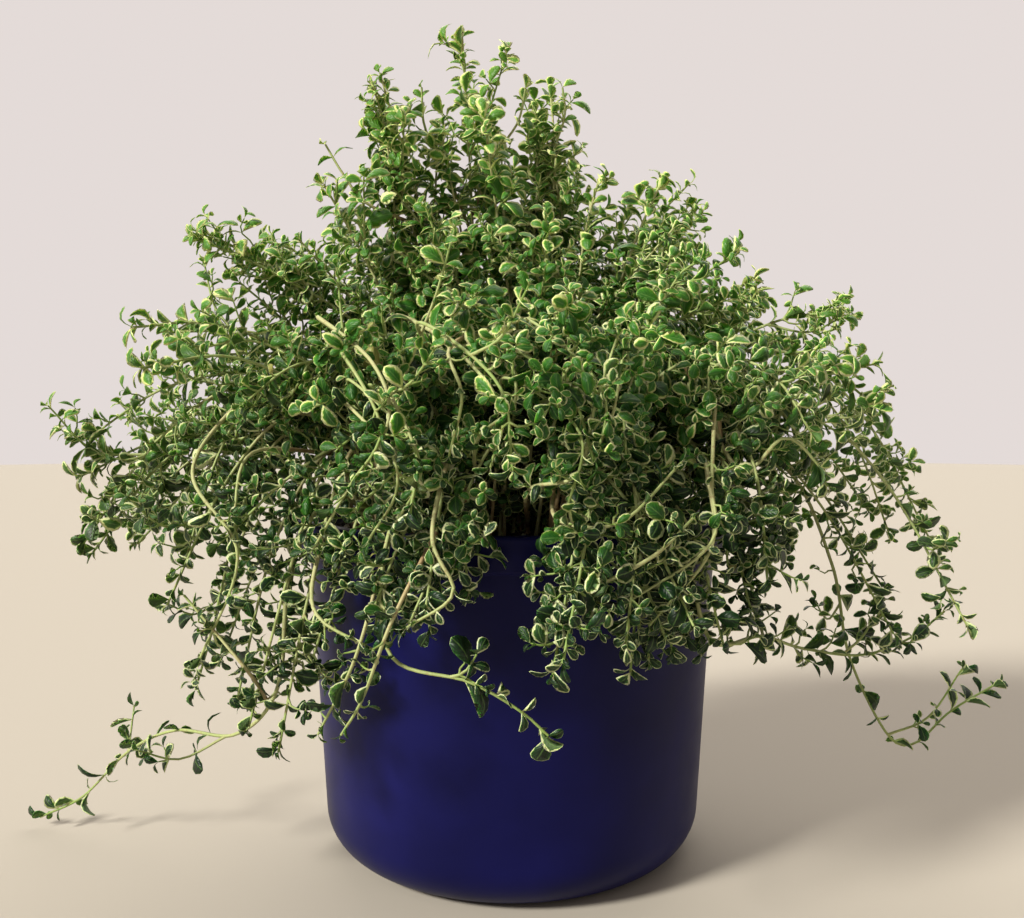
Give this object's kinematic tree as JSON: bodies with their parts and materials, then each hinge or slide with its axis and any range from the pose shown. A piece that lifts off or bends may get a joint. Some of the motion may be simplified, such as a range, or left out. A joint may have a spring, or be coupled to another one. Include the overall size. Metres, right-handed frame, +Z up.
{
  "type": "potted thyme plant",
  "caption": "Bushy variegated thyme with small paired leaves on arching and trailing stems, in soil in a round blue pot with a raised rim band.",
  "frame": {"origin": "centre of the pot's flat underside", "axes": "+Z up along the pot's axis; the side that the picture shows faces -Y, and +X is to its right"},
  "size_m": [0.3837, 0.2516, 0.3072],
  "materials": {
    "pot": "satin",
    "soil": "matte",
    "thyme": "matte"
  },
  "bodies": {
    "root": {"pot": "pot", "soil": "soil", "stem_left_trailing": "thyme", "stem_right_trailing": "thyme", "stem_right_floating": "thyme", "stem_front_long": "thyme", "stem_front_arch": "thyme", "stem_front_left_arch": "thyme", "stem_crown": "thyme", "stem_crown_left": "thyme", "stem_left_peak": "thyme", "stem_top_right": "thyme", "stem_top_back": "thyme", "stem_right_peak": "thyme", "stem_right_back": "thyme", "stem_right_shoulder": "thyme", "stem_right_high": "thyme", "stem_right_sprig": "thyme", "stem_right_arch": "thyme", "stem_right_outer": "thyme", "stem_right_hanging": "thyme", "stem_left_high": "thyme", "stem_left_back_high": "thyme", "stem_left_sprig": "thyme", "stem_left_outer": "thyme", "stem_left_low": "thyme", "stem_left_back_low": "thyme", "stem_left_hanging": "thyme", "stem_left_hanging_low": "thyme", "stem_left_front_hanging": "thyme", "stem_front_left_hanging": "thyme", "stem_front_right_hanging": "thyme", "stem_right_front_hanging": "thyme", "stem_front_right_face": "thyme", "stem_front_left_face": "thyme", "stem_front_left_shoulder": "thyme", "stem_front_right_shoulder": "thyme", "stem_right_front_shoulder": "thyme", "stem_left_front_shoulder": "thyme", "stem_right_front_low": "thyme", "stem_front_crown_left": "thyme", "stem_front_crown_right": "thyme", "stem_back_1": "thyme", "stem_back_2": "thyme", "stem_back_3": "thyme", "stem_back_4": "thyme", "stem_back_5": "thyme", "stem_back_6": "thyme", "stem_back_7": "thyme", "stem_back_8": "thyme", "stem_back_9": "thyme"}
  },
  "joints": []
}
